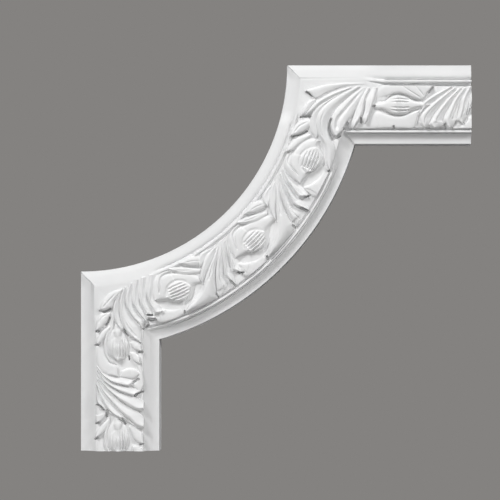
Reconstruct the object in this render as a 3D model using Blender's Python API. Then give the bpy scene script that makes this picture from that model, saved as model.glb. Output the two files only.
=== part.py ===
"""A carved moulding corner piece: two straight legs joined by a concave quarter arc.

The plan is worked in millimetres from the corner where the two outer edges would meet: u runs to
the right and w runs down. The front is one grid, laid along the band and raised by a relief
function. Side walls with a little draft, square-cut ends and a flat back close it. The result is in
metres with the middle of the arc's back at the origin and the carved front facing -y.
"""

import math

import bmesh
import bpy
import numpy as np

# Outline
LEG_TOP = 0.400
LEG_SIDE = 0.395
ARC_RADIUS = 0.2116
BAND_WIDTH = 0.0823
OUTER_DRAFT = 0.0004
INNER_DRAFT = 0.0006
MOUNT_RADIUS = ARC_RADIUS + BAND_WIDTH / 2

# Cross-section: heights above the back, and places in from the outer edge
EDGE_OUTER = 0.0120
EDGE_INNER = 0.0104
COVE_OUTER = 0.0042
COVE_INNER = 0.0056
OUTER_BEND = 3.0
INNER_BEND = 2.5
QUIRK = 0.0154
QUIRK_WIDTH = 0.0008
BEAD_TOP = 0.0174
BEAD_HALF = 0.00175
OUTER_BEAD = 0.0156
INNER_BEAD = 0.0684
CHANNEL = 0.0136
GROUND = 0.0168
GROUND_FROM = 0.0184
GROUND_TO = 0.0656

# Carving: heights above the back
LEAF_ROOT = 0.0170
LEAF_BODY = 0.0201
LEAF_TIP = 0.0208
POD_END = 0.0186
POD_TOP = 0.0228
PLATE_TOP = 0.0166

# How steeply carved edges fall, and how softly two mounds run together (metres)
EDGE_SLOPE = 2.6
POD_SLOPE = 3.2
SOFTNESS = 0.0005

# Sampling of the front, and the facets kept from it
COLUMNS_TOP = 170
COLUMNS_ARC = 330
COLUMNS_SIDE = 165
ROWS = 92
FACETS = 9700

WHITE = (0.88, 0.88, 0.875, 1.0)
ROUGHNESS = 0.6

MM = 1000.0
ARC_R = ARC_RADIUS * MM
ARC_MEAN = 252.6
MIDDLE = MOUNT_RADIUS / math.sqrt(2)

mounds = []


def top(along, inward):
    """A place on the top leg: distance from the corner, and in from the outer edge."""
    return along, inward


def side(along, inward):
    """The same on the side leg."""
    return inward, along


def arc(along, inward):
    """The same on the arc, where distance is taken along the middle of the band from the top."""
    angle = along / ARC_MEAN
    radius = ARC_R + inward
    return radius * math.cos(angle), radius * math.sin(angle)


def spread(values, count):
    """Stretches a few values evenly over a count of points."""
    values = np.atleast_1d(np.array(values, float))
    return np.interp(np.linspace(0, 1, count), np.linspace(0, 1, len(values)), values)


def smooth_line(rows, steps=5):
    """Runs a Catmull-Rom curve through rows of plan point, half width and height."""
    ends = np.vstack([2 * rows[0] - rows[1], rows, 2 * rows[-1] - rows[-2]])
    out = []
    for i in range(len(rows) - 1):
        a, b, c, d = ends[i:i + 4]
        k = np.arange(steps)[:, None] / steps
        bend = (2 * a - 5 * b + 4 * c - d) * k ** 2 + (3 * b - a - 3 * c + d) * k ** 3
        out.append(0.5 * (2 * b + (c - a) * k + bend))
    out.append(rows[-1:])
    return np.vstack(out)


def mound(space, points, widths, heights, crown=1.6, hollow=0.0, lean=0.0, slope=EDGE_SLOPE):
    """A raised strip: rounded or hollow across, its crest leaning to one side, with steep edges."""
    plan = np.array([space(*point) for point in points])
    rows = np.column_stack([plan, spread(widths, len(plan)), spread(heights, len(plan))])
    mounds.append((smooth_line(rows), crown, hollow, lean, slope))


def bowed(root, tip, bow, count=5):
    """Points on a curve from root to tip whose middle stands off by a share of its length."""
    root = np.array(root, float)
    tip = np.array(tip, float)
    chord = tip - root
    control = (root + tip) / 2 + 2 * bow * np.array([chord[1], -chord[0]])
    k = np.linspace(0, 1, count)[:, None]
    return (1 - k) ** 2 * root + 2 * k * (1 - k) * control + k ** 2 * tip


def fan(space, root_from, root_to, tips, bow_from, bow_to, lean, fullness=0.98):
    """Leaf lobes side by side: each fills the gap to its neighbours and rises towards its tip."""
    count = len(tips)
    lines = []
    for n, tip in enumerate(tips):
        share = n / (count - 1)
        root = (root_from[0] + (root_to[0] - root_from[0]) * share, root_from[1] + (root_to[1] - root_from[1]) * share)
        lines.append(bowed(root, tip, bow_from + (bow_to - bow_from) * share))
    taper = np.array([0.7, 0.95, 1.0, 1.0, 0.7])
    heights = np.array([LEAF_ROOT, 0.0191, LEAF_BODY, LEAF_TIP, LEAF_TIP]) * MM
    for n, line in enumerate(lines):
        near = [lines[m] for m in (n - 1, n + 1) if 0 <= m < count]
        gaps = [np.hypot(*(line - other).T) for other in near]
        half = np.clip(np.mean(gaps, axis=0) / 2 * fullness, 0.8, 5.0)
        mound(space, line, half * taper, heights, crown=1.9, lean=lean)


def leaflet(space, root, tip, half, bow=0.0, lift=0.0):
    """A short pointed leaf, widest in its middle."""
    points = bowed(root, tip, bow, 4)
    heights = np.array([0.0186, 0.0199, 0.0204, LEAF_TIP]) * MM + lift
    mound(space, points, [0.45 * half, half, half, 0.55 * half], heights, crown=1.6, hollow=0.4)


def smooth_leaf(space, points, widths, height, crown=1.4):
    """A broad plain leaf, level along its middle and sinking at its ends."""
    mound(space, points, widths, [height - 0.8, height, height, height - 0.8], crown=crown)


def pod(space, along, inward, half_length, half_width, blunt=0.0):
    """A seed pod: a plump spindle that runs out into the stem at both ends."""
    k = np.linspace(-1, 1, 9)
    swell = np.where(k < 0, np.maximum((1 - k ** 2) ** 0.9, blunt), (1 - k ** 2) ** 0.9)
    points = [(along + half_length * share, inward + 1.2 * share ** 2) for share in k]
    end = POD_END * MM
    mound(space, points, 2.3 + (half_width - 2.3) * swell, end + (POD_TOP * MM - end) * swell ** 0.8,
          crown=4.2, slope=POD_SLOPE)


def corner_plate(space, along, inner_along):
    """Plain ground in a corner, level with the outer bead, running out along both sides."""
    mound(space, [(along, 21), (along - 4, 32), (along - 8, 46), (along - 13, 60)], [6, 6, 4, 1.5],
          PLATE_TOP * MM, crown=0)
    mound(space, [(along, 20), (along + 30, 18.6), (inner_along, 17.6)], [4.6, 3.2, 1.2], PLATE_TOP * MM, crown=0)


def top_leg():
    """A fan cut off by the square end, and a pod lying between two smooth leaves."""
    smooth_leaf(top, [(303, 57), (318, 57.5), (335, 57), (350, 57)], [7, 7, 7.2, 6], 18.8)
    smooth_leaf(top, [(378, 61.4), (390, 62), (404, 62)], [2.6, 3.4, 3.6], 18.4)
    smooth_leaf(top, [(349, 32.5), (335, 27), (318, 24.5), (304, 26)], [3.5, 5.2, 5.2, 4], 19.3)
    for tip in (336, 348, 359):
        leaflet(top, (352, 32), (tip, 22), 3.4)
    tips = [(341, 56), (354, 61.5), (361, 62.5), (368, 62.5), (375, 63), (383, 57), (391, 58.5), (399, 43)]
    fan(top, (386, 20.8), (410, 22), tips, -0.10, 0.0, -0.3)
    pod(top, 327, 39.8, 27, 10.2)


def top_corner():
    """The large leaf that turns the corner and sends two lobes down into the arc."""
    corner_plate(top, 230, 298)
    mound(top, [(285, 20), (262, 21.6), (247, 24.4), (235.5, 27.4)], [1.4, 2.8, 4, 2.4], [17.4, 18.8, 19.8, 20])
    mound(top, bowed((282, 21.4), (231.5, 50), -0.10), [0.9, 2.2, 3.1, 3.1, 1.5], [17, 19.4, 20.4, 21, 20.8], lean=0.3)
    leaflet(top, (240, 34.5), (227.5, 49.5), 1.8)
    mound(top, [(278, 23), (261, 31), (248, 41), (241.5, 52), (238, 66), (239, 77)], [0.9, 2, 2.7, 3, 3.2, 1.6],
          [17, 19, 19.8, 19.8, 19.2, 18.6], lean=0.2)
    mound(top, [(286, 21.8), (266, 33), (251, 49), (247.5, 66), (250, 84), (253, 105)], [0.9, 2.6, 3.9, 4.4, 4.6, 3],
          [17, 19.6, 20.4, 20.2, 20, 20.2], crown=1.8, lean=0.2)
    mound(top, [(289, 22.6), (270, 36.5), (255.4, 53), (255, 68)], [0.9, 1.8, 1.9, 1], [17, 19.6, 19.2, 17.4])
    mound(top, [(291, 23), (274, 38.5), (262.4, 54), (263, 66.5)], [0.9, 2.8, 4.4, 4.6], [17, 20.6, 21.8, 22.4],
          crown=2.0, hollow=2.8)
    fan(top, (293, 24), (303, 25), [(271.8, 57), (279, 61), (291.5, 57), (299.8, 41)], -0.05, 0.05, -0.3)
    smooth_leaf(top, [(283, 61.5), (294, 62), (304, 60)], [2.4, 4, 5], 18.8)
    leaflet(arc, (60, 26.5), (78, 18.6), 2.9, 0.03)
    leaflet(arc, (74, 29.5), (96, 19.6), 3.2)


def arc_unit(start, next_pod):
    """A fan, its long lobe, its leaflets over the outer bead, and the pod that follows."""
    tips = [(13.5, 55.5), (24, 61), (33.5, 61), (42, 62), (51.5, 59), (50, 40)]
    fan(arc, (start, 20.6), (start + 29, 19.2), [(start + t, i) for t, i in tips], 0.05, 0.09, 0.3)
    leaflet(arc, (start + 29, 19.6), (start + 41.6, 27), 2.2, 0.08)
    mound(arc, [(start + 32, 23), (start + 48, 45), (next_pod - 12, 59.5), (next_pod + 1, 62.5)], [1.4, 4, 5.2, 2.8],
          [17.6, 20, 20, 20.2], crown=1.8, lean=0.2)
    leaflet(arc, (next_pod - 33, 23.6), (next_pod - 15, 18.4), 3)
    leaflet(arc, (next_pod - 28, 30), (next_pod - 1.5, 19.4), 3)


def arc_pod(along):
    """A pod between the smooth leaf above it and the one below."""
    smooth_leaf(arc, [(along - 14, 25), (along, 23.8), (along + 15, 29), (along + 22, 39)], [3, 3.8, 5, 4.2], 19.2)
    smooth_leaf(arc, [(along + 4, 59), (along + 14, 58.5), (along + 25, 57.4), (along + 31, 60)], [4.2, 6.4, 7, 4.2], 19.3)
    pod(arc, along, 39, 24.5, 12.2)


def side_corner():
    """The leaf that turns the lower corner, and the leaflets beside it."""
    corner_plate(side, 230, 290)
    tips = [(81.5, 251), (74.5, 257.5), (68, 262), (64, 267), (59, 276), (45, 271), (41, 267)]
    fan(top, (81, 217), (39, 229), tips, -0.21, -0.13, 0.3, 0.9)
    mound(top, [(37, 231), (31, 238), (26, 245.5)], [1.6, 4.2, 4], [18.2, 20, 20.8], hollow=0.5)
    leaflet(top, (31, 252), (19.4, 269.5), 3.2)
    leaflet(top, (31, 266), (19.2, 284), 3)


def side_pod(along, half_length):
    """An upright pod with a cap, and a thin leaf curled about its outer side."""
    pod(side, along, 38, half_length, 9.8, blunt=0.72)
    cap = along - half_length - 3.5
    mound(side, [(cap - 3.6, 38.8), (cap, 38.8), (cap + 3.5, 38.8)], [2.1, 3.3, 4.2], [19.6, 21, 21.6])
    smooth_leaf(side, [(along - 17, 26.2), (along - 4, 24.8), (along + 9, 26.5), (along + 17, 33)], [1.3, 1.5, 1.9, 2.2], 19.2)


def side_leg():
    """A pod, a fan, and a second pod cut off by the square end."""
    side_pod(289.5, 12.8)
    smooth_leaf(side, [(290, 20.6), (303, 20.4), (312, 24.6), (315, 34)], [2.8, 4.8, 5.4, 3.4], 19)
    smooth_leaf(side, [(311, 40), (314, 50), (315, 60)], [3.6, 5.4, 4.4], 19.2)
    smooth_leaf(side, [(303, 58), (317, 61), (331, 62.6)], [2.8, 3.2, 2], 19.6)
    leaflet(side, (284, 51), (290, 60.5), 3.6)
    leaflet(side, (294.5, 51), (302.5, 60), 4)
    tips = [(321.8, 54), (333, 60), (348, 60), (360, 58), (359.5, 42.5), (351, 25.5)]
    fan(side, (307, 18.8), (337, 18.8), tips, 0.14, 0.04, -0.25, 0.85)
    for root, tip, half in (
        ((355, 24), (363.5, 19), 3),
        ((363, 27.5), (378.5, 19), 3.5),
        ((371, 51), (384, 62), 4.4),
        ((389, 54), (404, 64), 4.2),
    ):
        leaflet(side, root, tip, half)
    smooth_leaf(side, [(384, 20.6), (392, 20.6), (404, 22)], [2.8, 3.8, 4.2], 18.8)
    side_pod(386, 15.5)


def ornament():
    top_leg()
    top_corner()
    arc_unit(118, 197)
    arc_unit(216, 291.5)
    for along in (100.5, 197.5, 292):
        arc_pod(along)
    side_corner()
    side_leg()


def nearest(line, u, w):
    """Distance of each sample to the line, the side it lies on and its place along the line."""
    best = np.full(u.shape, 1e9)
    hand = np.zeros(u.shape)
    place = np.zeros(u.shape)
    for i in range(len(line) - 1):
        ax, ay = line[i, :2]
        dx, dy = line[i + 1, :2] - line[i, :2]
        share = np.clip(((u - ax) * dx + (w - ay) * dy) / (dx * dx + dy * dy + 1e-9), 0, 1)
        ex = u - ax - share * dx
        ey = w - ay - share * dy
        distance = np.hypot(ex, ey)
        closer = distance < best
        best = np.where(closer, distance, best)
        hand = np.where(closer, np.sign(dx * ey - dy * ex), hand)
        place = np.where(closer, i + share, place)
    return best, hand, place


def carve(z, u, w):
    """Adds every mound to the heights, softly where two meet."""
    soft = SOFTNESS * MM
    for line, crown, hollow, lean, slope in mounds:
        reach = line[:, 2].max() + (line[:, 3].max() - CHANNEL * MM + 1) / slope
        low = line[:, :2].min(axis=0) - reach
        high = line[:, :2].max(axis=0) + reach
        near = np.nonzero((u > low[0]) & (u < high[0]) & (w > low[1]) & (w < high[1]))[0]
        if not len(near):
            continue
        distance, hand, place = nearest(line, u[near], w[near])
        half = np.interp(place, np.arange(len(line)), line[:, 2])
        crest = np.interp(place, np.arange(len(line)), line[:, 3])
        q = np.minimum(distance / half, 1.0)
        height = crest - crown * (q * hand + lean * (1 - q * q)) ** 2 - hollow * (1 - q * q) ** 2
        height -= np.maximum(distance - half, 0) * slope
        overlap = np.maximum(soft - np.abs(z[near] - height), 0)
        z[near] = np.maximum(z[near], height) + overlap ** 2 / (4 * soft)
    return z


def cross_section(t):
    """Height of the plain moulding at a distance in from the outer edge, both in millimetres."""
    outer_end = (OUTER_BEAD - BEAD_HALF) * MM
    inner_end = (INNER_BEAD + BEAD_HALF) * MM
    quirk = QUIRK_WIDTH * MM
    first = OUTER_DRAFT * MM
    last = (BAND_WIDTH - INNER_DRAFT) * MM
    shore = np.minimum(t - GROUND_FROM * MM, GROUND_TO * MM - t)
    z = np.clip(CHANNEL * MM + shore * EDGE_SLOPE, CHANNEL * MM, GROUND * MM)
    rise = np.clip((t - first) / (outer_end - quirk - first), 0, 1)
    z = np.where(t < outer_end - quirk, (EDGE_OUTER + COVE_OUTER * rise ** OUTER_BEND) * MM, z)
    rise = np.clip((last - t) / (last - inner_end - quirk), 0, 1)
    z = np.where(t > inner_end + quirk, (EDGE_INNER + COVE_INNER * rise ** INNER_BEND) * MM, z)
    for start in (outer_end - quirk, inner_end):
        z = np.where((t >= start) & (t <= start + quirk), QUIRK * MM, z)
    for middle in (OUTER_BEAD, INNER_BEAD):
        round_part = np.sqrt(np.maximum(1 - ((t - middle * MM) / (BEAD_HALF * MM)) ** 2, 0))
        z = np.where(round_part > 0, np.maximum(z, (QUIRK + (BEAD_TOP - QUIRK) * round_part) * MM), z)
    return z


def lay_out(t, column):
    """Plan point for a distance in from the edge and a column, mitred where the legs meet the arc."""
    mitre = np.sqrt(ARC_R ** 2 + 2 * ARC_R * t)
    start = np.arctan2(t, mitre)
    on_top = np.clip(column / COLUMNS_TOP, 0, 1)
    on_arc = np.clip((column - COLUMNS_TOP) / COLUMNS_ARC, 0, 1)
    on_side = np.clip((column - COLUMNS_TOP - COLUMNS_ARC) / COLUMNS_SIDE, 0, 1)
    angle = start + (math.pi / 2 - 2 * start) * on_arc
    u = (ARC_R + t) * np.cos(angle) + (1 - on_top) * (LEG_TOP * MM - mitre)
    w = (ARC_R + t) * np.sin(angle) + on_side * (LEG_SIDE * MM - mitre)
    return u, w


def in_metres(u, w, z):
    """Plan millimetres and height above the back to metres about the middle of the arc's back."""
    return np.column_stack([u / MM - MIDDLE, -z / MM, MIDDLE - w / MM])


def raised_front(shape):
    """A grid laid along the band, then raised by the section and the carving."""
    columns = COLUMNS_TOP + COLUMNS_ARC + COLUMNS_SIDE
    bmesh.ops.create_grid(shape, x_segments=columns, y_segments=ROWS, size=0.5)
    grid = np.array([vertex.co[:2] for vertex in shape.verts]) + 0.5
    first = OUTER_DRAFT * MM
    last = (BAND_WIDTH - INNER_DRAFT) * MM
    u, w = lay_out(first + (last - first) * grid[:, 1], np.round(grid[:, 0] * columns))
    z = carve(cross_section(np.minimum(np.minimum(u, w), np.hypot(u, w) - ARC_R)), u, w)
    for vertex, place in zip(shape.verts, in_metres(u, w, z)):
        vertex.co = place
    return grid * (columns, 1)


def close_behind(shape, grid):
    """Carries the rim of the front back to y = 0, with draft on the long sides, and fills the back."""
    rim = [edge for edge in shape.edges if edge.is_boundary]
    where = {vertex: grid[n] for n, vertex in enumerate(shape.verts)}
    corners = [vertex for edge in rim for vertex in edge.verts]
    starts = {tuple(round(c, 6) for c in vertex.co): where[vertex] for vertex in corners}
    drawn = bmesh.ops.extrude_edge_only(shape, edges=rim)["geom"]
    for vertex in [item for item in drawn if isinstance(item, bmesh.types.BMVert)]:
        column, across = starts[tuple(round(c, 6) for c in vertex.co)]
        spot = (across * BAND_WIDTH) * MM
        if 0 < across < 1:
            first = OUTER_DRAFT * MM
            spot = first + ((BAND_WIDTH - INNER_DRAFT) * MM - first) * across
        u, w = lay_out(spot, round(column))
        vertex.co = in_metres(np.array([u]), np.array([w]), np.array([0.0]))[0]
    bmesh.ops.holes_fill(shape, edges=[edge for edge in shape.edges if edge.is_boundary])
    bmesh.ops.triangulate(shape, faces=shape.faces[:])
    bmesh.ops.recalc_face_normals(shape, faces=shape.faces[:])


def square_up(mesh):
    """Puts the back and the two cut ends exactly on their planes again."""
    for vertex in mesh.vertices:
        if vertex.co.y > -2e-4:
            vertex.co.y = 0.0
        if vertex.co.x > LEG_TOP - MIDDLE - 1e-4:
            vertex.co.x = LEG_TOP - MIDDLE
        if vertex.co.z < MIDDLE - LEG_SIDE + 1e-4:
            vertex.co.z = MIDDLE - LEG_SIDE


def white_primer():
    material = bpy.data.materials.new("primed_polyurethane")
    material.use_nodes = True
    shader = material.node_tree.nodes["Principled BSDF"]
    shader.inputs["Base Color"].default_value = WHITE
    shader.inputs["Roughness"].default_value = ROUGHNESS
    shader.inputs["Metallic"].default_value = 0.0
    return material


def build():
    ornament()
    shape = bmesh.new()
    grid = raised_front(shape)
    close_behind(shape, grid)
    facets = len(shape.faces)
    fine = bpy.data.meshes.new("fine_front")
    shape.to_mesh(fine)
    shape.free()
    piece = bpy.data.objects.new("moulding_corner", fine)
    home = bpy.data.collections.new("moulding_corner_piece")
    bpy.context.scene.collection.children.link(home)
    home.objects.link(piece)
    thin = piece.modifiers.new("fewer_facets", "DECIMATE")
    thin.ratio = FACETS / facets
    bpy.context.view_layer.update()
    graph = bpy.context.evaluated_depsgraph_get()
    mesh = bpy.data.meshes.new_from_object(piece.evaluated_get(graph))
    piece.modifiers.remove(thin)
    piece.data = mesh
    mesh.name = "moulding_corner"
    bpy.data.meshes.remove(fine)
    square_up(mesh)
    mesh.materials.append(white_primer())
    mesh.shade_smooth()
    mesh.set_sharp_from_angle(angle=math.radians(40))


for old in list(bpy.data.objects):
    bpy.data.objects.remove(old)
build()
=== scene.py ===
"""Looks of the moulding corner piece: the whole carved front in fine relief, and its matte white primer.

The plan is worked in millimetres from the corner where the two outer edges would meet: u runs to the
right and w runs down. Heights are millimetres above the flat back.
"""

import math

import bmesh
import bpy
import numpy as np
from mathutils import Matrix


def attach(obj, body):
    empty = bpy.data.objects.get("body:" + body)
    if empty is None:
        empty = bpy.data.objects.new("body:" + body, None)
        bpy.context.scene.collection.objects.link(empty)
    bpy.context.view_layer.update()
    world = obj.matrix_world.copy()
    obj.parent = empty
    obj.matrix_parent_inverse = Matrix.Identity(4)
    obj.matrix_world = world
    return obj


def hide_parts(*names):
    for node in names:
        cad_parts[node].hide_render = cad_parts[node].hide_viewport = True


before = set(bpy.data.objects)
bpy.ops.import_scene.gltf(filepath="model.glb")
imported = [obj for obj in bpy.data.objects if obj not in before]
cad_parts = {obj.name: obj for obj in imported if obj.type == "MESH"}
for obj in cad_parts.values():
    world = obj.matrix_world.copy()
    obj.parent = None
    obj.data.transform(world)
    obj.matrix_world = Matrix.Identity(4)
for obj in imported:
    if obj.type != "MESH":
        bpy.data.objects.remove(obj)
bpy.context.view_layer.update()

# Outline, in millimetres; distances along the arc are measured at the radius ARC_MEAN
LEG_TOP = 400.0
LEG_SIDE = 395.0
ARC_R = 211.6
ARC_MEAN = 252.6
BAND = 82.3
OUTER_DRAFT = 0.4
INNER_DRAFT = 1.8
MIDDLE = 178.721

# Outer cove: the edge that it rises from, and the lip that rolls over where it ends
EDGE_OUTER = 13.2
COVE_OUTER = 2.8
OUTER_BEND = 1.4
ROLL = 2.7
ROLL_BEND = 8
OUTER_END = 14.4

# Inner cove
EDGE_INNER = 12.2
COVE_INNER = 2.8
INNER_BEND = 2.4

# Beads, and the narrow quirks between them and the coves
BEAD_TOP = 17.4
BEAD_HALF = 1.6
BEAD_POWER = 4
OUTER_BEAD = 17.0
INNER_BEAD = 68.4
QUIRK = 12.6
ARC_QUIRK = 13.8
OUTER_QUIRK_WIDTH = 0.9
QUIRK_WIDTH = 0.8
QUIRK_FLAT = 0.7
LAP = 0.1

# The ground that the carving stands on, and a channel on each side, deep only along the top leg
GROUND = 17.0
GROUND_FROM = 20.2
GROUND_TO = 65.7
CHANNEL = 13.2
OUTER_CHANNEL = 15.4
DEEP_CHANNEL = 11.6
DEEP_FROM = (306, 316)
MIDDLE_OF_BAND = 40.0

# On the arc the outer bead and its neighbours lie nearer the edge: the shift, and where it sets in and ends
ARC_SHIFT = 1.9
SHIFT_IN = (0, 6)
SHIFT_OUT = (26, 19)

# Where the outer quirk and bead die out at the two corners, and where the side leg takes over from the arc
PLAIN_TOP = (312, 288)
PLAIN_ARC_TOP = (64, 46)
PLAIN_SIDE = (275, 262)
PLAIN_ARC_SIDE = (92, 70)
LEG_FROM = (255, 275)

# What takes their place: a tilted plate, or a soft step beside the cove
PLATE_TOP = 17.0
PLATE_TO = 19.0
PLATE_SAG = 0.12
PLATE_POWER = 9
SOFT_EDGE = 11.0
SOFT_RISE = 6.0
SOFT_TO = 16.4
SOFT_BEND = 2.1
SHORE_SHIFT = 2

# The side leg and the start of the arc have no inner bead: a bank with one faint line falls to the edge
BARE_ARC = (116, 98)
BANK_FROM = 64.2
BANK_LINE = 66.0
BANK_LINE_RISE = 2.4
BANK_EDGE = 11.0
BANK_RISE = 5.7
BANK_BEND = 1.7

# How both channels are kept open where blades run out into them
CHANNEL_STEEP = 6.0
OUTER_MIDDLE = 19.9
OUTER_HALF = 0.7
OUTER_WIDENS = 0.8
WIDE_FROM = (357, 366)
INNER_MIDDLE = 66.1
INNER_HALF = 0.35
BLADES_END = 0.4
BARE_END = 1.2
BARE_FILL = 9

# Blades and lobes: how steeply they fall outside their edges, the fillet between two, and the highest place
SLOPE = 2.6
POD_SLOPE = 3.2
FILLET = 0.35
TALLEST = 22.75

# How finely a line is divided between its points, and how many places along a blade have their own height
LINE_STEPS = 6
STATIONS = 40

# Grooves: how hard they are pressed in, how round they are, and how soon they fade in and out
PRESS = 1.3
GROOVE_POWER = 1.5
FADE_IN = 3
FADE_OUT = 12
FLUTE_BOW = 0.14

# Slits: the floor, the slope of their sides, the most they rise, and their half width for a width of one
SLIT_FLOOR = 11.8
SLIT_SLOPE = 7.0
SLIT_RISE = 8
SLIT_HALF = 0.6

# An arc pod's stalk is stretched to the pod's own root: where the stalk starts, and its drawn length
NECK = -13
STALK = 18.5

# Sampling of the front: columns along each run, the triangles kept, and the angle that stays a crisp edge
COLUMNS_TOP = 370
COLUMNS_ARC = 900
COLUMNS_SIDE = 360
TRIANGLES = 194000
CRISP_FROM = 50

# How far from their planes the back and the cut ends may have moved, in metres
BACK_SLACK = 2e-4
END_SLACK = 5e-5

# Studio, in metres, degrees and watts: each lamp has a name, a turn, a lift, a size and a power
CAMERA_PLACE = (-0.0051, -1.9335, -0.0107)
LENS = 135
SENSOR = 36
BACKDROP = (0.231, 0.2232, 0.2158)
AMBIENT = 0.05
FLOOR_PLACE = (0, -0.30, -0.40)
FLOOR_RADIUS = 0.5
FLOOR_COLOUR = (0.52, 0.515, 0.51, 1)
LAMP_REACH = 2.4
LAMPS = (
    ("key_left", -46, 43, 0.5, 42.5),
    ("key_right", 50, 42, 0.5, 27.5),
    ("front", 0, 0, 0.5, 12.5),
    ("behind", 180, 35, 1.2, 14.0),
)

blades = []
mounds = []
grooves = []
slits = []


def on_arc(points):
    """Arc places (distance along the middle of the band, distance in from the edge) as plan points."""
    out = []
    for along, inward in points:
        angle = along / ARC_MEAN
        out.append(((ARC_R + inward) * math.cos(angle), (ARC_R + inward) * math.sin(angle)))
    return out


def spread(values, count):
    """The values, or the one value, spread evenly over a number of places."""
    values = np.atleast_1d(np.array(values, float))
    return np.interp(np.linspace(0, 1, count), np.linspace(0, 1, len(values)), values)


def smooth_line(points):
    """A Catmull-Rom curve through the points."""
    rows = np.array(points, float)
    ends = np.vstack([2 * rows[0] - rows[1], rows, 2 * rows[-1] - rows[-2]])
    out = []
    for i in range(len(rows) - 1):
        a, b, c, d = ends[i:i + 4]
        k = np.arange(LINE_STEPS)[:, None] / LINE_STEPS
        bend = (2 * a - 5 * b + 4 * c - d) * k ** 2 + (3 * b - a - 3 * c + d) * k ** 3
        out.append(0.5 * (2 * b + (c - a) * k + bend))
    out.append(rows[-1:])
    return np.vstack(out)


def lobe(points, widths, heights, crown):
    """A raised strip, rounded across, with steep edges."""
    line = smooth_line(points)
    mounds.append((line, spread(widths, len(line)), spread(heights, len(line)), crown))


def groove(points, half, depth):
    """A shallow line pressed into what is already there, fading out at its ends."""
    line = smooth_line(points)
    grooves.append((line, spread(half, len(line)), depth))


def slit(points, widths):
    """A narrow cut between two lobes."""
    line = smooth_line(points)
    slits.append((line, SLIT_HALF * spread(widths, len(line))))


def blade(left, right, tip, heights, crown, lean=0.0, power=2.4, slope=SLOPE):
    """A leaf blade between two edges that meet at its tip: highest between them, steep outside them."""
    left = smooth_line([*left, tip])
    right = smooth_line([*right, tip])
    blades.append((left, right, spread(heights, STATIONS), crown, lean, power, slope))


def between(left, right):
    """The line half way between two others."""
    return [((a + c) / 2, (b + d) / 2) for (a, b), (c, d) in zip(left, right)]


def fan(veins, tips, heights, fine=0.0, **how):
    """Blades between neighbouring veins, which are pressed in, each with a fine line if asked for."""
    for n, tip in enumerate(tips):
        blade(veins[n], veins[n + 1], tip, heights, **how)
        if fine:
            groove(between(veins[n], veins[n + 1])[1:], 0.8, fine)
    for vein in veins[1:-1]:
        groove(vein[1:], 1.0, 1.2)


def shifted(line, move):
    """A line moved along the band."""
    return [(along + move, inward) for along, inward in line]


def arc_blade(left, right, tip, heights, move=0, **how):
    left, right, (tip,) = (on_arc(shifted(line, move)) for line in (left, right, [tip]))
    blade(left, right, tip, heights, **how)


def flutes(middle, places, depths, reach):
    """Shallow lines side by side over a kernel, bowed out from its middle, with the depth of each."""
    lines = []
    for place, depth in zip(places, depths):
        side = place - FLUTE_BOW * (place - middle)
        lines.append(([(-reach, side), (0, place), (reach, side)], depth))
    return lines


def top_leg():
    """A fan cut off by the square end, and a pod lying between two smooth leaves."""
    blade([(300, 28), (310, 21.5), (326, 21), (342, 20), (356, 21.5)],
          [(300, 36.5), (311, 33), (325, 28.8), (338, 32.5), (350, 35), (356, 28)], (361.5, 23),
          [17, 18.8, 20, 20.8, 21.2], crown=0.9, power=3, slope=6)
    groove([(327.5, 21), (336, 26.5), (348, 34)], 0.9, 0.5)
    groove([(341, 20.5), (347, 27), (351, 32.5)], 0.9, 0.5)
    blade([(298, 39), (309, 38.6), (318, 33.2), (325, 31.8), (333, 33.5), (342, 37.5)],
          [(298, 45.4), (309, 46), (318, 50), (325, 51), (333, 49.8), (342, 45)], (362, 41),
          [17.4, 20.8, 22.6, 21.4, 20, 19.8], crown=1.9, power=2.6, slope=POD_SLOPE)
    for line, depth in flutes(41.3, (35.2, 38.3, 44.3, 47.4), (1.0, 0.8, 0.9, 1.2), 10):
        groove(shifted(line, 326.5), 1.1, depth)
    groove([(303, 37), (310.4, 37.4), (318, 31.6), (325, 30.2), (333.5, 31.6), (342, 36), (350, 36.6)],
           1.3, 2.0)
    groove([(298, 46.4), (309, 46.6), (317, 50.4), (325, 51.8), (333.5, 51), (340, 47), (347, 45.6)],
           1.2, 1.6)
    blade([(298, 50.5), (306, 49), (318, 52.6), (328, 53.2), (338, 49.8)],
          [(281, 65.5), (296, 65.6), (312, 64.6), (328, 65), (341, 64)], (346.5, 47),
          [17.4, 18.8, 19.2, 18.8, 19.6], crown=0.8, power=4)
    fan([
        [(379, 21.5), (361, 30.8), (351, 38), (349, 46)],
        [(381, 23.5), (365, 35), (352.5, 45), (347, 52), (347.5, 60)],
        [(387.5, 23.5), (375, 35), (366, 45), (359, 55), (356.5, 61)],
        [(391.5, 23.5), (382, 35), (376, 45), (371, 55), (372.5, 60.5)],
        [(396, 24), (389.5, 35), (387, 45), (384.4, 56)],
        [(402, 22), (398, 35), (396.5, 45), (395, 53)],
        [(409, 22), (404.5, 34), (402, 41)],
    ], [(346.6, 51.5), (352.5, 65), (363, 66.2), (378, 66.2), (391, 60.5), (399, 44)],
        [18.6, 20.2, 21, 21.6, 21.4], fine=0.5, crown=2.8, lean=0.4, power=1.6)
    groove([(392, 26), (387, 37), (383.5, 47), (380, 57)], 0.9, 0.5)
    groove([(397, 26), (393.5, 38), (391.5, 50)], 0.9, 0.4)
    blade([(380, 66), (386, 60.5), (392, 62)], [(382, 66.5), (394, 66), (406, 66)], (404, 46),
          [17, 18.6, 18.2], crown=0.6, power=4)


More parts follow.
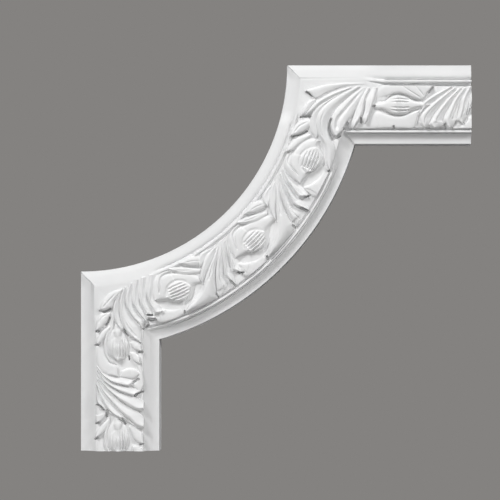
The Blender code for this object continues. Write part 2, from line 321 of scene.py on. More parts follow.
def top_corner():
    """The large leaf that turns the corner and sends two lobes down into the arc."""
    blade([(292, 18.8), (270, 19), (252, 21), (238, 25)],
          [(290, 20.6), (268, 22.6), (252, 28), (241, 33.5)], (230.5, 27), [17.2, 18.2, 19.2, 19.8, 19.4],
          crown=0.7, lean=0.4)
    blade([(277, 22.4), (259, 28.4), (245, 35.4), (236, 43.6)],
          [(277, 24.4), (259, 33.4), (247, 40.4), (238, 48.4)], (229.6, 52.4), [18.2, 20, 21, 21.4, 21.2],
          crown=2.4, lean=0.3, power=1.8)
    blade([(241, 34.4), (233.4, 38), (228, 46.6)], [(240, 37.6), (235.4, 42.6), (231, 48.4)],
          (226.8, 51.4), [18.4, 19.8, 20.4], crown=1.1, lean=0.2)
    blade([(277, 24.4), (259, 33.4), (247, 40.4), (238, 48.4), (234.8, 58), (235.6, 68)],
          [(282, 22.5), (267, 30), (251.4, 40), (243.4, 50), (241.6, 60), (243.4, 71)], (240.8, 76),
          [17.2, 19.2, 20, 19.8, 19.4, 18.4], crown=0.9, lean=0.2)
    blade([(282, 22.5), (267, 30), (251.4, 40), (243.4, 50), (241.6, 60), (243.4, 71), (250, 84),
           (251.4, 100)],
          [(288.5, 22.5), (271.4, 35), (257.6, 50), (252.4, 62), (254.4, 72), (260, 84), (259.6, 98)],
          (255.4, 108), [18.4, 20.4, 21.2, 21.2, 20.8, 20.4, 20.6, 21], crown=2.4, lean=0.3)
    groove([(251, 44.4), (246.4, 56), (245.8, 66), (247.6, 74)], 0.9, 0.6)
    blade([(263, 45), (255.6, 55), (253.8, 66), (256, 74)],
          [(264, 46), (257, 56), (256.4, 66), (258, 73)], (259, 78), [19, 18.6, 17.6], crown=0.5)
    blade([(288.5, 22.5), (272, 36), (258.6, 51), (256, 63), (258, 70)],
          [(292.5, 24), (284, 40), (278, 51), (273.4, 57), (268.6, 67)], (261.4, 73.4),
          [17.4, 20.6, 21.8, 22.6, 22.7, 22.6], crown=1.4, power=3)
    groove([(291, 24), (280.4, 35), (272, 45), (263.8, 56), (261.8, 68)], [1.6, 2, 2.6, 3.2, 2.6], 1.7)
    fan([
        [(292.5, 24), (284, 40), (280.4, 50), (277.4, 60)],
        [(296.5, 23.4), (291, 36), (290.2, 46), (287, 54.6)],
        [(305, 23), (301.8, 36), (298, 47), (294.4, 56)],
    ], [(278.8, 65.6), (291, 60)],
        [18.8, 20.8, 21.6, 21.8, 21.6], fine=0.35, crown=2.8, lean=-0.4, power=1.6)
    groove([(286.4, 40), (283, 50.5), (280, 58)], 0.9, 0.5)
    groove([(297.5, 30), (295, 42), (293, 52)], 1.2, 0.5)


def arc_fan(move, onward):
    """A fan and the long lobe that runs on from it towards the next pod."""
    def fan_blade(left, right, tip, heights=(18.2, 19.8, 20.8, 21.2, 21), crown=3.4):
        arc_blade(left, right, tip, heights, move=move, crown=crown, lean=-0.45, power=1.6)

    def fan_groove(line, half, depth):
        groove(on_arc(shifted(line, move)), half, depth)

    first = [(115.5, 21.5), (121.4, 28), (125.8, 36), (127.8, 46), (129.4, 54)]
    second = [(121.5, 21.5), (129.2, 30), (133.4, 38), (137.4, 46), (138.4, 50.5)]
    third = [(127, 21.5), (134.4, 30), (140.4, 38), (145.4, 46), (147, 51), (145.5, 57.5)]
    fourth = [(131, 21.5), (141.5, 30), (150, 38), (155.8, 46), (160, 54), (163, 61)]
    fifth = [(136, 21), (150.8, 30), (162.6, 38), (170, 45)]
    fan_blade(first, second, (131.6, 57.4))
    fan_blade(second, third, (142.6, 66))
    fan_blade([*third, (147, 65)], [*fourth, (163.5, 66)], (156, 76),
              heights=(17.2, 19.6, 20.6, 20.2, 18.6, 17))
    fan_blade(fifth, [(140, 20), (152, 23.4), (161.6, 30), (167.6, 37.4)], (169.8, 45.6), crown=1.0)
    fan_blade([(146.4, 21.6), (152.8, 23.2), (158.4, 26.4)],
              [(141, 19), (149, 17.8), (157, 18.2), (162, 22)], (163.4, 28.6), heights=(17.6, 19.4, 20.6),
              crown=1.0)
    arc_blade([*shifted(fourth, move), (171 + onward, 65.6), (186 + onward, 66.6)],
              [*shifted(fifth, move), (180 + onward, 50.2), (194 + onward, 57.4)], (201.4 + onward, 63.6),
              (17.2, 19.8, 21.2, 21.8, 21.8, 21.6, 21.4), crown=4.2, lean=-0.25, power=2.6)
    arc_blade([(159.4, 22.4), (166, 17.6), (175, 15)], [(161.4, 27.4), (168, 26.8), (178, 21.8)],
              (185.6, 15.4), (18.6, 20, 20.9, 20.8), move=onward, crown=1.2, lean=0.1)
    arc_blade([(168.4, 31), (178, 25), (189, 19.4)], [(171.4, 33.6), (181, 30.6), (193, 24)],
              (198.6, 16.6), (18.4, 20, 20.6, 20.8), move=onward, crown=1.0, lean=0.1)
    for line in ([(163, 24.6), (170.3, 20.2), (179, 17.6)], [(176, 28), (185, 24.2), (193, 19.8)]):
        groove(on_arc(shifted(line, onward)), 0.9, 0.4)
    fan_groove([(149, 43), (149.6, 50), (149, 60)], 1.0, 0.4)
    fan_groove([(140, 29), (159, 41), (177, 53), (190, 60)], 1.4, 0.45)
    veins = (first, second, [*third, (146.4, 62)], [*fourth, (165, 65)], fifth)
    for line in veins[1:]:
        fan_groove(line[1:], 1.0, 1.1)
    for left, right in zip(veins, veins[1:]):
        fan_groove(between(left, right)[1:], 0.9, 0.6)


def arc_pod(centre, root, lift):
    """A fluted kernel in a smooth husk, with a thin outer leaf about it, and a smooth leaf below."""
    def put(points):
        placed = []
        for along, inward in points:
            if along < NECK:
                along = NECK + (along - NECK) * (root + NECK) / STALK
            placed.append((centre + along, inward + lift))
        return placed

    def pod_groove(line, half, depth):
        groove(on_arc(put(line)), half, depth)

    def pod_blade(left, right, tip, heights, **how):
        arc_blade(put(left), put(right), put([tip])[0], heights, **how)

    pod_blade([(-31.5, 36.5), (-19, 28), (-6, 21), (8, 18.2), (20, 22), (26, 33)],
              [(-31, 45), (-18, 43.2), (-9, 48.8), (0, 51.8), (13, 46.4)], (26.6, 42),
              (18.8, 20.2, 20.8, 20.8, 20.4), crown=2.4, power=2.6, slope=POD_SLOPE)
    pod_groove([(-14, 27.6), (-1, 21.9), (10.6, 21.6), (16.2, 27.6), (20.4, 37.4)],
               [2.4, 2.4, 2.2, 1.6, 0.7], 1.5)
    pod_groove([(-13, 40), (-9, 34.4), (-2, 31), (6, 31.8), (11.6, 36), (13.8, 43)], 2.0, 0.6)
    pod_blade([(-13, 41), (-9, 34.6), (0, 31.2), (8.6, 34)],
              [(-12.6, 44), (-8, 49), (0, 51.8), (9, 48.6)], (14.6, 43), (20.8, 22.2, 22.7, 22.2, 21.4),
              crown=1.9, slope=POD_SLOPE)
    pod_groove([(-22, 44), (-15, 47.6), (-7, 54), (2, 57)], [1.6, 2.2, 2.0, 1.2], 1.2)
    for line, depth in flutes(42, (35.2, 38.4, 41.7, 45, 48.2), (1.1, 1.4, 1.7, 1.7, 1.5), 11):
        pod_groove(line, 1.4, depth)
    pod_blade([(6, 58), (14, 57), (22, 53), (28, 48)], [(4, 65), (14, 67), (24, 66.4), (31, 62)],
              (30.4, 52), (17.4, 18.6, 19.2, 18.4), crown=1.0, power=4)


def arc_run():
    """Two leaflets at the top corner, then three pods with a fan between each two."""
    blade([(235.4, 55.4), (224.4, 59), (217.6, 66.4)], [(234.6, 63.6), (228, 68.4), (220.4, 71.6)],
          (214.6, 72.6), [18.8, 20.2, 20.8], crown=1.2)
    groove([(235, 57.6), (225, 62.4), (219, 69)], 1.1, 0.7)
    blade([(235.6, 70.6), (222, 75), (214, 82.6)], [(235.4, 73.4), (227, 80), (219, 87)], (211, 88.6),
          [18.6, 20, 20.8], crown=1.2)
    for centre, root, lift in ((98.6, 21, 1.6), (199, 31.5, 0), (292.5, 24.4, -0.8)):
        arc_pod(centre, root, lift)
    arc_fan(0, 0)
    arc_fan(97.8, 93.7)


def side_corner():
    """The leaf that turns the lower corner, and the leaflets beside it."""
    fan([
        [(80.6, 212), (79, 227), (75.6, 237.6), (79, 244)],
        [(70, 215), (68, 229), (69, 240), (74, 251), (76, 256)],
        [(62, 218), (60.4, 234), (61.6, 244), (66, 252.6), (68.6, 259.4)],
        [(56, 221), (53.2, 236), (55, 247), (60.4, 255.6), (66, 261)],
        [(50, 225), (46.4, 237), (47.4, 247), (53, 258), (61, 266)],
        [(44, 229), (40.6, 241), (40.6, 255), (44, 266.6), (49.4, 277.4)],
        [(39.4, 234), (34.4, 245), (33.8, 256), (37, 265)],
    ], [(85, 251.8), (78, 258.8), (69.2, 265.8), (64.4, 271), (62.8, 284), (42, 271)],
        [18.8, 20.4, 21.2, 21.7, 21.4], fine=0.35, crown=3.0, lean=-0.45, power=1.6)
    groove([(44, 257), (49, 268), (58, 279)], 1.6, 0.8)
    blade([(43.4, 228.6), (31, 233.6), (23, 243.4)], [(42.6, 232), (34.6, 241), (31, 248.6)], (21, 251),
          [18.6, 20, 21, 20.8], crown=1.3)
    groove([(38, 232.4), (30.4, 240.2), (23.4, 248.4)], 1.0, 0.7)
    blade([(31, 253), (22, 255), (17.6, 263)], [(31.4, 254.6), (28.6, 261), (23, 268)], (16.4, 271.8),
          [18.8, 20.4, 20.8], crown=1.3)
    groove([(29.4, 254.6), (23, 258), (19.2, 264.6)], 0.9, 0.6)
    blade([(31, 266.4), (23.4, 272), (18, 280)], [(31, 269.4), (27, 276), (21.4, 283.6)], (17, 286),
          [18.8, 20.2, 20.8], crown=1.2)
    lobe([(33.6, 255), (33.4, 264), (31.6, 272), (29, 281)], [1.6, 1.4, 1.2, 1], [18.4, 19, 19.2, 19],
         crown=0.8)


def side_pod(top):
    """An upright fluted kernel under a small cap, with a thin husk about its outer side."""
    lobe([(29, top - 5), (26.4, top + 5), (26.6, top + 17), (30.4, top + 25), (37, top + 29)],
         [1.2, 1.4, 1.6, 1.4, 1], [18.8, 19.4, 19.2, 18.6, 18], crown=0.9)
    blade([(33.6, top - 7), (29.4, top), (28.2, top + 9), (29.4, top + 19)],
          [(43, top - 5), (48, top + 3), (49.2, top + 12), (46, top + 22)], (38.6, top + 26.6),
          [19.4, 20.4, 20.7, 20.5, 19.8], crown=1.8, power=2.8, slope=POD_SLOPE)
    lobe([(37.6, top - 9), (38.4, top - 4.5), (38.6, top - 0.6)], [2.4, 3.8, 3.0], [19.8, 21.4, 21.6],
         crown=1.4)
    blade([(36, top), (31, top + 5), (29.8, top + 12), (32, top + 20)],
          [(42, top), (46.4, top + 5), (48.2, top + 12), (45, top + 21)], (38.6, top + 26),
          [21.2, 22.3, 22.6, 22.2, 21], crown=2.4, power=2.4, slope=POD_SLOPE)
    places = (32.8, 35.6, 38.8, 41.7, 44.3, 46.6)
    for line, depth in flutes(38.6, places, (0.5, 0.6, 0.8, 1.3, 1.5, 1.2), 11):
        groove([(across, top + 12 + along) for along, across in line], 1.25, depth)


def side_leg():
    """A pod, a fan, and a second pod cut off by the square end."""
    side_pod(277)
    blade([(18, 287), (17, 298), (19, 309), (27, 316)],
          [(22.6, 284), (24.6, 295), (30, 305), (38, 308.6)], (38.6, 318.4), [17.4, 18.6, 19.4, 20],
          crown=0.8, power=4)
    blade([(43, 313), (50, 310.6), (57.4, 312)], [(41.4, 319), (48, 320.4), (55, 320.4)], (61, 316),
          [18.8, 19.4, 18.8], crown=0.8, power=4)
    blade([(51, 283.4), (56.4, 282.6), (61.4, 286)], [(51.4, 285.4), (54.4, 289.4), (59, 291.8)],
          (63, 292.4), [18.8, 20.4, 20.8], crown=1.0, power=3)
    blade([(51.4, 294), (56.6, 294.6), (60.8, 299)], [(51.6, 296.4), (54.4, 301.4), (58.4, 304.4)],
          (61.4, 305.4), [18.8, 20, 20.4], crown=1.0, power=3)
    blade([(61, 305), (64, 316), (65, 327)], [(57, 305.6), (60, 314), (57, 324), (51, 327)], (62, 333.6),
          [17.6, 18.6, 19, 19], crown=0.8, power=4)
    fan([
        [(17, 304), (24, 314.4), (34, 319.6), (47, 321.2)],
        [(17, 309), (24, 318.4), (33, 324.6), (42, 327.4), (50, 328.8)],
        [(17, 313), (24, 323), (33, 330), (42, 334.8), (55.4, 339)],
        [(17, 317), (24, 327.4), (33, 336.6), (45, 346.4), (58, 353.4)],
        [(17, 322), (24, 335.2), (33, 346.2), (42, 356.4), (50, 363), (58, 370)],
        [(17, 328), (21, 339), (27.4, 351.4), (34, 358)],
        [(16.4, 318), (16.4, 332), (17.4, 345)],
    ], [(54.8, 323), (62, 333.8), (72, 350), (74, 372), (43, 361.4), (26, 353.4)],
        [18.6, 20.6, 21.6, 22, 21.8], crown=3.0, lean=-0.45, power=1.6)
    blade([(17.4, 349), (16.4, 357), (16.6, 364)], [(22, 353), (26, 356), (23, 362.4)], (18, 365.4),
          [19, 20.4, 20.6], crown=1.0)
    blade([(30, 360.8), (22.6, 368), (17, 377)], [(31, 364), (27.4, 371), (21.6, 378)], (16, 380.4),
          [18.8, 20.2, 20.8], crown=1.1)
    side_pod(371.6)
    blade([(18.4, 384), (17, 394), (17, 404)], [(22.6, 380), (24.8, 392), (27, 403)], (22, 409),
          [17.6, 18.8, 19], crown=0.7, power=4)
    blade([(50, 368.6), (57, 370.6), (63.4, 378)], [(50.4, 373), (55.4, 382), (60.6, 386)], (65, 387),
          [18.8, 20.2, 20.8], crown=1.1, power=3)
    blade([(53.6, 389), (60, 389.4), (64.8, 396)], [(54, 394), (56, 402), (58, 408)], (64, 410),
          [18.8, 20, 20.4], crown=1.0, power=3)


def nicks():
    """The dark nicks between lobe tips."""
    for along, onward in ((0, 0), (97.8, 93.7)):
        for line, width, move in (
            ([(130.6, 58.4), (132.5, 57.4), (134.6, 55)], 0.3, along),
            ([(145.4, 58), (145, 61), (144.4, 65)], 0.7, along),
            ([(163.4, 61), (163.6, 65)], 0.7, along),
            ([(201.6, 62), (202.6, 65)], 0.7, onward),
        ):
            slit(on_arc(shifted(line, move)), width)
    for line, width in (
        ([(225.4, 53.8), (229, 53), (235, 52.8)], 0.6),
        ([(217, 73.4), (225, 71.4), (232, 68)], 0.5),
        ([(231.4, 28), (234.2, 30), (237, 32.4)], 0.2),
        ([(256.4, 55.6), (254.8, 61), (255.2, 67), (257, 72), (259.2, 75.4)], (0.2, 0.5, 0.9, 1.6, 2)),
        ([(259.2, 75.4), (263, 74.4), (266, 72.8)], (1.6, 1, 0.4)),
        ([(273.4, 59.6), (272.6, 64), (277, 68.8)], (0.8, 2.2, 1.6)),
        ([(287, 54.8), (287.2, 58.4)], 0.5),
        ([(299.4, 42.4), (301.2, 42.3)], 0.2),
        ([(356, 28.8), (361.4, 22.2)], 0.5),
        ([(320.4, 63), (320.9, 65.5)], 0.3),
        ([(373, 61), (374, 64.6)], 0.5),
        ([(254, 108.8), (256.6, 108.6)], 0.9),
        (on_arc([(326, 54.8), (328, 54.2), (330, 53.4)]), 0.2),
        ([(70, 260.4), (73, 261), (76.4, 260)], (0.3, 1.1, 0.6)),
        ([(64.6, 270.6), (67, 268.8), (70, 265.6)], 0.5),
        ([(20.4, 251.4), (25, 252.4), (31, 249.6)], 0.6),
        ([(30.6, 258.4), (28.6, 263), (26, 266.4)], 0.6),
        ([(16.4, 272.8), (19.4, 272)], 0.7),
        ([(15.8, 286.8), (18.2, 286.4)], 0.6),
        ([(45, 270.8), (49, 277.4)], 0.6),
        ([(60, 293.6), (63.6, 293.6)], 0.6),
        ([(50, 298), (50.4, 301.6)], 0.3),
        ([(55, 324.2), (59.4, 321.4)], 0.9),
        ([(56, 338.6), (60.4, 335.4), (65, 334)], 0.4),
        ([(17, 347.6), (20.4, 348.8), (24.4, 353)], 0.5),
        ([(28, 354), (27.4, 358.8)], 1.1),
        ([(16.4, 366.6), (19.4, 366)], 0.6),
        ([(15.6, 383), (18, 381)], 0.5),
        ([(43.6, 362), (46.4, 367)], 0.8),
        ([(61.4, 388), (64.4, 388)], 0.5),
    ):
        slit(line, width)


def ornament():
    top_leg()
    top_corner()
    arc_run()
    side_corner()
    side_leg()
    nicks()


def nearest(line, u, w):
    """Distance of each sample to the line, and its place along the line."""
    best = np.full(u.shape, 1e9)
    place = np.zeros(u.shape)
    for i in range(len(line) - 1):
        ax, ay = line[i]
        dx, dy = line[i + 1] - line[i]
        share = np.clip(((u - ax) * dx + (w - ay) * dy) / (dx * dx + dy * dy + 1e-9), 0, 1)
        distance = np.hypot(u - ax - share * dx, w - ay - share * dy)
        closer = distance < best
        best = np.where(closer, distance, best)
        place = np.where(closer, i + share, place)
    return best, place


def within(line, reach, u, w):
    """The samples that lie near a line."""
    low = line.min(axis=0) - reach
    high = line.max(axis=0) + reach
    return np.nonzero((u > low[0]) & (u < high[0]) & (w > low[1]) & (w < high[1]))[0]


def enclosed(outline, u, w):
    """The samples inside a closed outline."""
    inside = np.zeros(u.shape, bool)
    for (ax, ay), (bx, by) in zip(outline, np.roll(outline, -1, axis=0)):
        if ay != by:
            inside ^= ((ay > w) != (by > w)) & (u < (bx - ax) * (w - ay) / (by - ay) + ax)
    return inside


def merge(z, near, height):
    """The higher of two surfaces, with a small fillet where they meet."""
    overlap = np.maximum(FILLET - np.abs(z[near] - height), 0)
    z[near] = np.maximum(z[near], height) + overlap ** 2 / (4 * FILLET)


def raise_blades(z, u, w):
    for left, right, heights, crown, lean, power, slope in blades:
        outline = np.vstack([left, right[-2::-1]])
        near = within(outline, (heights.max() - CHANNEL) / slope, u, w)
        if not len(near):
            continue
        on_left, left_place = nearest(left, u[near], w[near])
        on_right, right_place = nearest(right, u[near], w[near])
        root = nearest(np.array([right[0], left[0]]), u[near], w[near])[0]
        inside = enclosed(outline, u[near], w[near])
        share = (left_place / (len(left) - 1) + right_place / (len(right) - 1)) / 2
        crest = np.interp(share, np.linspace(0, 1, len(heights)), heights)
        across = (on_left - on_right) / (on_left + on_right + 1e-6)
        rounded = np.minimum(np.abs(across + lean * (1 - across ** 2)), 1) ** power
        beyond = np.minimum(np.minimum(on_left, on_right), root)
        merge(z, near, crest - np.where(inside, crown * rounded, crown + slope * beyond))


def raise_mounds(z, u, w):
    for line, widths, heights, crown in mounds:
        near = within(line, widths.max() + (heights.max() - CHANNEL + 1) / SLOPE, u, w)
        if not len(near):
            continue
        distance, place = nearest(line, u[near], w[near])
        half = np.interp(place, np.arange(len(line)), widths)
        crest = np.interp(place, np.arange(len(line)), heights)
        height = crest - crown * np.minimum(distance / half, 1.0) ** 2
        merge(z, near, height - np.maximum(distance - half, 0) * SLOPE)


def carve(z, u, w):
    """Raises every blade and lobe, then presses in the grooves and cuts the slits."""
    raise_blades(z, u, w)
    raise_mounds(z, u, w)
    for line, widths, depth in grooves:
        near = within(line, widths.max(), u, w)
        if not len(near):
            continue
        distance, place = nearest(line, u[near], w[near])
        half = np.interp(place, np.arange(len(line)), widths)
        along = place / (len(line) - 1)
        fade = np.clip(np.minimum(FADE_IN * along, FADE_OUT * (1 - along)), 0, 1)
        z[near] -= PRESS * depth * fade * np.maximum(1 - (distance / half) ** 2, 0) ** GROOVE_POWER
    for line, widths in slits:
        near = within(line, widths.max() + SLIT_RISE / SLIT_SLOPE, u, w)
        if not len(near):
            continue
        distance, place = nearest(line, u[near], w[near])
        half = np.interp(place, np.arange(len(line)), widths)
        z[near] = np.minimum(z[near], SLIT_FLOOR + np.maximum(distance - half, 0) * SLIT_SLOPE)
    return np.minimum(z, TALLEST)


def smooth_step(low, high, value):
    """Nought at low, one at high, and an even curve between."""
    share = np.clip((value - low) / (high - low), 0, 1)
    return share * share * (3 - 2 * share)


def corner_shares(u, w):
    """Where the outer bead and quirk die out: into a tilted plate, or a soft step beside the cove."""
    top = smooth_step(*PLAIN_TOP, u) * smooth_step(*PLAIN_ARC_TOP, w)
    side = smooth_step(*PLAIN_SIDE, w) * smooth_step(*PLAIN_ARC_SIDE, u)
    from_arc = np.hypot(u, w) - ARC_R
    on_top = w < from_arc
    on_side = u < from_arc
    flat = np.where(w < u, np.where(on_top, top, 0), np.where(on_side, 0, side))
    soft = np.where(w < u, top - flat, np.where(on_side, 1, 0))
    return flat, soft


def bare_share(t, u, w):
    """Where the inner bead is missing: on the side leg, and on the arc beside the top corner."""
    on_side = smooth_step(*LEG_FROM, w) * np.where(u < w, 1, 0)
    return np.maximum(on_side, smooth_step(*BARE_ARC, w) * np.where((u > w) & (t < w - 1e-6), 1, 0))


def cross_section(t, u, w):
    """Height of the moulding at a distance in from the outer edge, before it is carved."""
    arc = smooth_step(*PLAIN_TOP, u) * (1 - smooth_step(*LEG_FROM, w))
    t = t + ARC_SHIFT * arc * smooth_step(*SHIFT_OUT, t) * smooth_step(*SHIFT_IN, t)
    last = BAND - INNER_DRAFT
    inner_end = INNER_BEAD + BEAD_HALF
    deep = smooth_step(*DEEP_FROM, u)
    flat, soft = corner_shares(u, w)

    floor = np.where(t < MIDDLE_OF_BAND, OUTER_CHANNEL + deep * (DEEP_CHANNEL - OUTER_CHANNEL), CHANNEL)
    shore = np.minimum(t - GROUND_FROM + SHORE_SHIFT * (flat + soft), GROUND_TO - t)
    z = np.clip(floor + shore * SLOPE, floor, GROUND)
    rise = np.clip((t - OUTER_DRAFT) / (OUTER_END - OUTER_DRAFT), 0, 1)
    cove = EDGE_OUTER + COVE_OUTER * rise ** OUTER_BEND - ROLL * rise ** ROLL_BEND
    z = np.where(t < OUTER_END, cove, z)
    rise = np.clip((last - t) / (last - inner_end - QUIRK_WIDTH), 0, 1)
    z = np.where(t > inner_end + QUIRK_WIDTH, EDGE_INNER + COVE_INNER * rise ** INNER_BEND, z)

    in_outer_quirk = (t >= OUTER_END) & (t <= OUTER_END + OUTER_QUIRK_WIDTH)
    z = np.where(in_outer_quirk, ARC_QUIRK + deep * (QUIRK - ARC_QUIRK), z)
    z = np.where((t >= inner_end - LAP) & (t <= inner_end + QUIRK_WIDTH), QUIRK, z)
    for middle in (OUTER_BEAD, INNER_BEAD):
        round_part = np.sqrt(np.maximum(1 - ((t - middle) / BEAD_HALF) ** BEAD_POWER, 0))
        bead = QUIRK - LAP + (BEAD_TOP - QUIRK + LAP) * round_part
        z = np.where(round_part > 0, np.maximum(z, bead), z)

    share = np.clip(t / PLATE_TO, 0, 1)
    tilt = (1 + PLATE_SAG) * share - PLATE_SAG * share ** PLATE_POWER
    plate = EDGE_OUTER + (PLATE_TOP - EDGE_OUTER) * tilt
    step = np.minimum(SOFT_EDGE + SOFT_RISE * np.clip(t / SOFT_TO, 0, 2) ** SOFT_BEND, GROUND)
    z = np.where(t < PLATE_TO, z + flat * (plate - z), z)
    z = np.where(t < PLATE_TO, z + soft * (step - z), z)
    bank = BANK_EDGE + BANK_RISE * np.clip((last - t) / (last - BANK_FROM), 0, 1) ** BANK_BEND
    bank = np.minimum(bank, CHANNEL + BANK_LINE_RISE + np.abs(t - BANK_LINE))
    return np.where(t > BANK_FROM, z + bare_share(t, u, w) * (bank - z), z)


def keep_clear(z, plain, t, u, w):
    """Cuts blades off at the inner bead or bank, and keeps both channels open."""
    bare = bare_share(t, u, w)
    z = np.where(t > INNER_MIDDLE + BLADES_END - BARE_END * bare, plain, z)
    inner = np.maximum(np.abs(t - INNER_MIDDLE) - INNER_HALF, 0) * CHANNEL_STEEP
    z = np.minimum(z, CHANNEL + BARE_FILL * bare + inner)
    width = OUTER_HALF + OUTER_WIDENS * smooth_step(*WIDE_FROM, u)
    outer = DEEP_CHANNEL + np.maximum(np.abs(t - OUTER_MIDDLE) - width, 0) * CHANNEL_STEEP
    return np.where(u > DEEP_FROM[1], np.minimum(z, outer), z)


def row_places():
    """Where the rows of the grid run across the band: close together over the beads and the carving."""
    outer_end = OUTER_BEAD - BEAD_HALF
    inner_end = INNER_BEAD + BEAD_HALF
    runs = (
        (OUTER_DRAFT, OUTER_END, 14),
        (OUTER_END, OUTER_END + LAP, 1),
        (OUTER_END + LAP, outer_end, 1),
        (outer_end, OUTER_BEAD + BEAD_HALF, 11),
        (OUTER_BEAD + BEAD_HALF, INNER_BEAD - BEAD_HALF, 110),
        (INNER_BEAD - BEAD_HALF, inner_end, 11),
        (inner_end, inner_end + QUIRK_FLAT, 1),
        (inner_end + QUIRK_FLAT, inner_end + QUIRK_WIDTH, 1),
        (inner_end + QUIRK_WIDTH, BAND - INNER_DRAFT, 12),
    )
    places = [OUTER_DRAFT]
    for start, stop, count in runs:
        places.extend(start + (stop - start) * (n + 1) / count for n in range(count))
    return np.array(places)


def lay_out(t, column):
    """Plan point for a distance in from the edge and a column, mitred where the legs meet the arc."""
    mitre = np.sqrt(ARC_R ** 2 + 2 * ARC_R * t)
    start = np.arctan2(t, mitre)
    on_top = np.clip(column / COLUMNS_TOP, 0, 1)
    arc_share = np.clip((column - COLUMNS_TOP) / COLUMNS_ARC, 0, 1)
    on_side = np.clip((column - COLUMNS_TOP - COLUMNS_ARC) / COLUMNS_SIDE, 0, 1)
    angle = start + (math.pi / 2 - 2 * start) * arc_share
    u = (ARC_R + t) * np.cos(angle) + (1 - on_top) * (LEG_TOP - mitre)
    w = (ARC_R + t) * np.sin(angle) + on_side * (LEG_SIDE - mitre)
    return u, w


def in_metres(u, w, z):
    """Plan points and heights as places in the part's frame."""
    return np.column_stack([(u - MIDDLE) / 1000, -z / 1000, (MIDDLE - w) / 1000])


def raised_front(shape, places):
    """A grid laid along the band, then raised by the section and the carving."""
    columns = COLUMNS_TOP + COLUMNS_ARC + COLUMNS_SIDE
    bmesh.ops.create_grid(shape, x_segments=columns, y_segments=len(places) - 1, size=0.5)
    grid = np.array([vertex.co[:2] for vertex in shape.verts]) + 0.5
    column = np.round(grid[:, 0] * columns)
    row = np.round(grid[:, 1] * (len(places) - 1)).astype(int)
    u, w = lay_out(places[row], column)
    inward = np.minimum(np.minimum(u, w), np.hypot(u, w) - ARC_R)
    plain = cross_section(inward, u, w)
    z = keep_clear(carve(plain.copy(), u, w), plain, inward, u, w)
    for vertex, place in zip(shape.verts, in_metres(u, w, z)):
        vertex.co = place
    return {(int(column[n]), row[n]): vertex for n, vertex in enumerate(shape.verts)}


def close_behind(shape, rim, places):
    """Walls from the rim of the front back to y = 0, with draft on the long sides, and the flat back."""
    last = COLUMNS_TOP + COLUMNS_ARC + COLUMNS_SIDE
    last_row = len(places) - 1
    ring = [(column, 0) for column in range(last)]
    ring += [(last, row) for row in range(last_row)]
    ring += [(column, last_row) for column in range(last, 0, -1)]
    ring += [(0, row) for row in range(last_row, 0, -1)]
    behind = []
    for column, row in ring:
        inward = {0: 0.0, last_row: BAND}.get(row, places[row])
        u, w = lay_out(inward, column)
        behind.append(shape.verts.new(in_metres(np.array([u]), np.array([w]), np.array([0.0]))[0]))
    for n, spot in enumerate(ring):
        shape.faces.new([rim[ring[n - 1]], rim[spot], behind[n], behind[n - 1]])
    back = shape.faces.new(behind)
    back.normal_update()
    bmesh.ops.triangulate(shape, faces=[back])
    bmesh.ops.recalc_face_normals(shape, faces=shape.faces[:])


def square_up(mesh):
    """Puts the back and the two cut ends exactly on their planes again."""
    right = (LEG_TOP - MIDDLE) / 1000
    bottom = (MIDDLE - LEG_SIDE) / 1000
    places = np.zeros(len(mesh.vertices) * 3)
    mesh.vertices.foreach_get("co", places)
    places = places.reshape(-1, 3)
    places[:, 1] = np.where(places[:, 1] > -BACK_SLACK, 0, places[:, 1])
    places[:, 0] = np.where(places[:, 0] > right - END_SLACK, right, places[:, 0])
    places[:, 2] = np.where(places[:, 2] < bottom + END_SLACK, bottom, places[:, 2])
    mesh.vertices.foreach_set("co", places.ravel())
    mesh.update()


def carved_casting():
    """The whole casting as one closed mesh, thinned to the triangles that it may have."""
    ornament()
    places = row_places()
    shape = bmesh.new()
    rim = raised_front(shape, places)
    close_behind(shape, rim, places)
    triangles = sum(len(face.verts) - 2 for face in shape.faces)
    fine = bpy.data.meshes.new("fine_front")
    shape.to_mesh(fine)
    shape.free()
    piece = bpy.data.objects.new("carved_casting", fine)
    bpy.context.scene.collection.objects.link(piece)
    thin = piece.modifiers.new("fewer_triangles", "DECIMATE")
    thin.ratio = min(1.0, TRIANGLES / triangles)
    bpy.context.view_layer.update()
    graph = bpy.context.evaluated_depsgraph_get()
    mesh = bpy.data.meshes.new_from_object(piece.evaluated_get(graph))
    piece.modifiers.remove(thin)
    piece.data = mesh
    bpy.data.meshes.remove(fine)
    square_up(mesh)
    mesh.shade_smooth()
    mesh.set_sharp_from_angle(angle=math.radians(CRISP_FROM))
    return piece


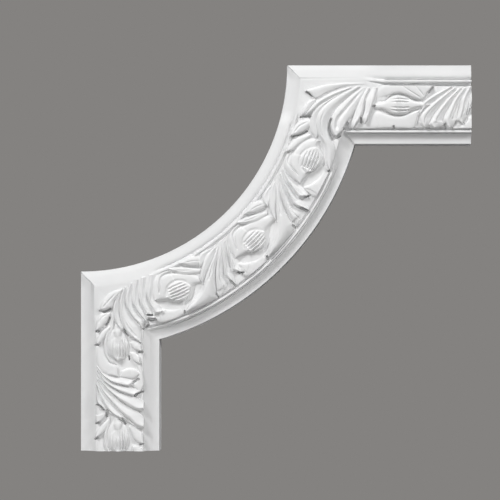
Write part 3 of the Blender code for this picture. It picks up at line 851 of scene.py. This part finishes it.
def white_primer():
    """Matte sprayed primer: a fine grain, faint sags and clouding, and a sheen that varies a little."""
    material = bpy.data.materials.new("white_primer")
    material.use_nodes = True
    tree = material.node_tree
    shader = tree.nodes["Principled BSDF"]
    place = tree.nodes.new("ShaderNodeTexCoord")

    def noise(scale, detail, rough=0.5):
        node = tree.nodes.new("ShaderNodeTexNoise")
        node.inputs["Scale"].default_value = scale
        node.inputs["Detail"].default_value = detail
        node.inputs["Roughness"].default_value = rough
        tree.links.new(place.outputs["Object"], node.inputs["Vector"])
        return node.outputs["Fac"]

    def ramp(source, low, high):
        node = tree.nodes.new("ShaderNodeValToRGB")
        node.color_ramp.elements[0].position = 0.3
        node.color_ramp.elements[0].color = (*low, 1)
        node.color_ramp.elements[1].position = 0.7
        node.color_ramp.elements[1].color = (*high, 1)
        tree.links.new(source, node.inputs["Fac"])
        return node.outputs["Color"]

    clouds = ramp(noise(28, 4), (0.765, 0.768, 0.772), (0.805, 0.806, 0.805))
    tree.links.new(clouds, shader.inputs["Base Color"])
    sheen = ramp(noise(60, 5), (0.46,) * 3, (0.60,) * 3)
    tree.links.new(sheen, shader.inputs["Roughness"])
    shader.inputs["Specular IOR Level"].default_value = 0.4
    grain = tree.nodes.new("ShaderNodeBump")
    grain.inputs["Strength"].default_value = 0.10
    grain.inputs["Distance"].default_value = 0.0002
    tree.links.new(noise(2600, 3, 0.6), grain.inputs["Height"])
    sag = tree.nodes.new("ShaderNodeBump")
    sag.inputs["Strength"].default_value = 0.12
    sag.inputs["Distance"].default_value = 0.0008
    tree.links.new(noise(140, 3), sag.inputs["Height"])
    tree.links.new(sag.outputs["Normal"], grain.inputs["Normal"])
    tree.links.new(grain.outputs["Normal"], shader.inputs["Normal"])
    return material


def surroundings():
    """A grey backdrop for the camera, and a little of its light on the piece."""
    world = bpy.data.worlds.new("studio")
    bpy.context.scene.world = world
    world.use_nodes = True
    tree = world.node_tree
    seen = tree.nodes["Background"]
    seen.inputs["Color"].default_value = (*BACKDROP, 1)
    faint = tree.nodes.new("ShaderNodeBackground")
    faint.inputs["Color"].default_value = (*BACKDROP, 1)
    faint.inputs["Strength"].default_value = AMBIENT
    ray = tree.nodes.new("ShaderNodeLightPath")
    mix = tree.nodes.new("ShaderNodeMixShader")
    tree.links.new(ray.outputs["Is Camera Ray"], mix.inputs["Fac"])
    tree.links.new(faint.outputs["Background"], mix.inputs[1])
    tree.links.new(seen.outputs["Background"], mix.inputs[2])
    tree.links.new(mix.outputs["Shader"], tree.nodes["World Output"].inputs["Surface"])


def lamp(name, turn, lift, size, power):
    """A round soft lamp aimed at the piece, turned to the right of the camera and lifted above it."""
    light = bpy.data.lights.new(name, "AREA")
    light.shape = "DISK"
    light.size = size
    light.energy = power
    stand = bpy.data.objects.new(name, light)
    turn, lift = math.radians(turn), math.radians(lift)
    level = math.cos(lift)
    stand.location = (LAMP_REACH * math.sin(turn) * level, -LAMP_REACH * math.cos(turn) * level,
                      LAMP_REACH * math.sin(lift))
    stand.rotation_euler = (-stand.location).to_track_quat("-Z", "Y").to_euler()
    bpy.context.scene.collection.objects.link(stand)


def studio():
    """Camera straight in front, the lamps round the piece, and a pale floor below it."""
    bpy.context.scene.view_settings.view_transform = "Standard"
    surroundings()
    lens = bpy.data.cameras.new("camera")
    lens.lens = LENS
    lens.sensor_width = SENSOR
    camera = bpy.data.objects.new("camera", lens)
    camera.location = CAMERA_PLACE
    camera.rotation_euler = (math.pi / 2, 0, 0)
    bpy.context.scene.collection.objects.link(camera)
    bpy.context.scene.camera = camera
    for lamp_values in LAMPS:
        lamp(*lamp_values)

    bpy.ops.mesh.primitive_circle_add(
        vertices=96, radius=FLOOR_RADIUS, fill_type="NGON", location=FLOOR_PLACE)
    floor = bpy.context.object
    floor.name = "floor"
    paint = bpy.data.materials.new("pale_floor")
    paint.use_nodes = True
    shader = paint.node_tree.nodes["Principled BSDF"]
    shader.inputs["Base Color"].default_value = FLOOR_COLOUR
    shader.inputs["Roughness"].default_value = 0.8
    floor.data.materials.append(paint)


studio()
casting = carved_casting()
casting.data.materials.clear()
casting.data.materials.append(white_primer())
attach(casting, "root")
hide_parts("moulding_corner")
